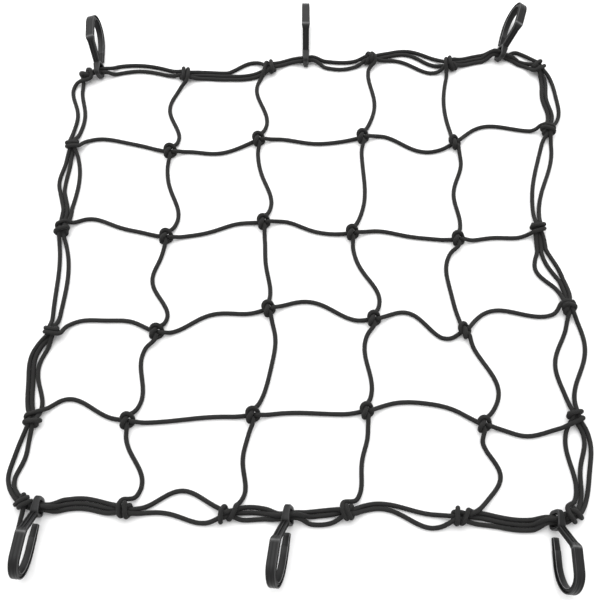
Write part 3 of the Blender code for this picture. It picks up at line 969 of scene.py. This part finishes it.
def hook_eye():
    """The closed loop that the strands run through."""
    mesh = bmesh.new()
    half = EYE_LENGTH / 2
    rim = eye_loop(mesh, -half, half, 0, EYE_HEIGHT, EYE_CORNER)
    slot = eye_loop(mesh, EYE_INNER_BAR - half, half - EYE_BAR, EYE_BAR, EYE_HEIGHT - EYE_BAR, SLOT_CORNER)
    flat = bmesh.ops.bridge_loops(mesh, edges=rim + slot)
    drawn = bmesh.ops.extrude_face_region(mesh, geom=flat["faces"])
    raised = [element for element in drawn["geom"] if isinstance(element, bmesh.types.BMVert)]
    bmesh.ops.translate(mesh, verts=raised, vec=(0, EYE_WIDTH, 0))
    for vert in mesh.verts:
        share = smooth((vert.co.x / EYE_LENGTH + 0.5) / EYE_TAPER_SHARE)
        vert.co.y *= (EYE_INNER_WIDTH + (EYE_OUTER_WIDTH - EYE_INNER_WIDTH) * share) / EYE_WIDTH
    bmesh.ops.recalc_face_normals(mesh, faces=mesh.faces)
    edges = [edge for edge in mesh.edges if edge.calc_face_angle(0) > EYE_EDGE_ANGLE]
    rounded_off = bmesh.ops.bevel(
        mesh,
        geom=edges,
        offset=EYE_ROUNDING,
        offset_type="OFFSET",
        affect="EDGES",
        segments=3,
        profile=0.5,
        clamp_overlap=True,
        material=-1,
    )
    # Painted highlight on the rounded edges of the eye.
    highlight_amount = mesh.verts.layers.float.new("painted_highlight")
    strips = set(rounded_off["faces"])
    for vert in {vert for strip in strips for vert in strip.verts}:
        if all(face in strips for face in vert.link_faces):
            vert[highlight_amount] = EYE_HIGHLIGHT
    return mesh


def hook_material():
    """Satin black plastic, faintly mottled, with painted highlights in light grey along its edges and crease.
    """
    material = bpy.data.materials.new("moulded plastic")
    material.use_nodes = True
    nodes = material.node_tree.nodes
    links = material.node_tree.links
    shader = nodes["Principled BSDF"]
    spot = nodes.new("ShaderNodeTexCoord")
    mottle = nodes.new("ShaderNodeTexNoise")
    mottle.inputs["Scale"].default_value = 260
    mottle.inputs["Detail"].default_value = 5
    links.new(spot.outputs["Object"], mottle.inputs["Vector"])
    # Painted highlight: the light grey is mixed in along the edges and the crease, patchy with the mottle.
    highlight_mask = nodes.new("ShaderNodeAttribute")
    highlight_mask.attribute_name = "painted_highlight"
    patchy_highlight = nodes.new("ShaderNodeMath")
    patchy_highlight.operation = "MULTIPLY"
    links.new(highlight_mask.outputs["Fac"], patchy_highlight.inputs[0])
    links.new(mottle.outputs[0], patchy_highlight.inputs[1])
    colour = nodes.new("ShaderNodeMix")
    colour.data_type = "RGBA"
    colour.inputs["A"].default_value = HOOK_COLOUR
    colour.inputs["B"].default_value = HIGHLIGHT_COLOUR
    links.new(patchy_highlight.outputs[0], colour.inputs["Factor"])
    links.new(colour.outputs["Result"], shader.inputs["Base Color"])
    satin = nodes.new("ShaderNodeMapRange")
    satin.inputs["To Min"].default_value = 0.34
    satin.inputs["To Max"].default_value = 0.52
    links.new(mottle.outputs[0], satin.inputs["Value"])
    links.new(satin.outputs[0], shader.inputs["Roughness"])
    shader.inputs["Specular IOR Level"].default_value = 0.3
    grain = nodes.new("ShaderNodeBump")
    grain.inputs["Strength"].default_value = 0.25
    grain.inputs["Distance"].default_value = 0.1 * MM
    links.new(mottle.outputs[0], grain.inputs["Height"])
    links.new(grain.outputs[0], shader.inputs["Normal"])
    return material


def hook_stand(side, bay, place, turn, lean):
    """The matrix that takes a hook from its own frame to where it lies on the strands."""
    along = place * MM
    spot = edge_line(side, bay).place(along, bay_middle(side, bay, along), eye_centre_height(lean))
    sense = 1 if side == "far" else -1
    return (
        Matrix.Translation(spot)
        @ Matrix.Rotation(sense * (math.pi / 2 + math.radians(turn)), 4, "Z")
        @ Matrix.Rotation(-sense * math.radians(lean), 4, "X")
        @ Matrix.Translation((0, 0, -EYE_HEIGHT / 2))
    )


plastic = hook_material()
for node, side, bay, place, turn, lean in HOOKS:
    moulding = hook_body()
    loop = bpy.data.meshes.new("loop")
    eye_mesh = hook_eye()
    eye_mesh.to_mesh(loop)
    eye_mesh.free()
    moulding.from_mesh(loop)
    bpy.data.meshes.remove(loop)
    moulding.transform(hook_stand(side, bay, place, turn, lean))
    data = bpy.data.meshes.new(node + "_moulding")
    moulding.to_mesh(data)
    moulding.free()
    data.shade_smooth()
    data.set_sharp_from_angle(angle=SHARP_ANGLE)
    data.materials.append(plastic)
    hook = bpy.data.objects.new(node + "_moulding", data)
    bpy.context.scene.collection.objects.link(hook)
    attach(hook, "root")
    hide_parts(node)


# ---- The studio ----
# A pale matt table under a white sky, with one large soft lamp above and behind the far edge, so that the
# shadows are short and faint.

floor_mesh = bmesh.new()
bmesh.ops.create_grid(floor_mesh, x_segments=1, y_segments=1, size=3)
floor_data = bpy.data.meshes.new("floor")
floor_mesh.to_mesh(floor_data)
floor_mesh.free()
floor = bpy.data.objects.new("floor", floor_data)
bpy.context.scene.collection.objects.link(floor)
floor_material = bpy.data.materials.new("pale floor")
floor_material.use_nodes = True
floor_shader = floor_material.node_tree.nodes["Principled BSDF"]
floor_shader.inputs["Base Color"].default_value = (0.94, 0.94, 0.94, 1)
floor_shader.inputs["Roughness"].default_value = 0.9
floor_data.materials.append(floor_material)

world = bpy.data.worlds.new("studio")
bpy.context.scene.world = world
world.use_nodes = True
world.node_tree.nodes["Background"].inputs[0].default_value = (1, 1, 1, 1)
world.node_tree.nodes["Background"].inputs[1].default_value = 0.85
light_data = bpy.data.lights.new("softbox", "AREA")
light_data.size = 2.2
light_data.energy = 28
light = bpy.data.objects.new("softbox", light_data)
light.location = (-0.15, 0.55, 1.2)
light.rotation_euler = (-light.location).to_track_quat("-Z", "Y").to_euler()
bpy.context.scene.collection.objects.link(light)
bpy.context.scene.view_settings.view_transform = "Standard"
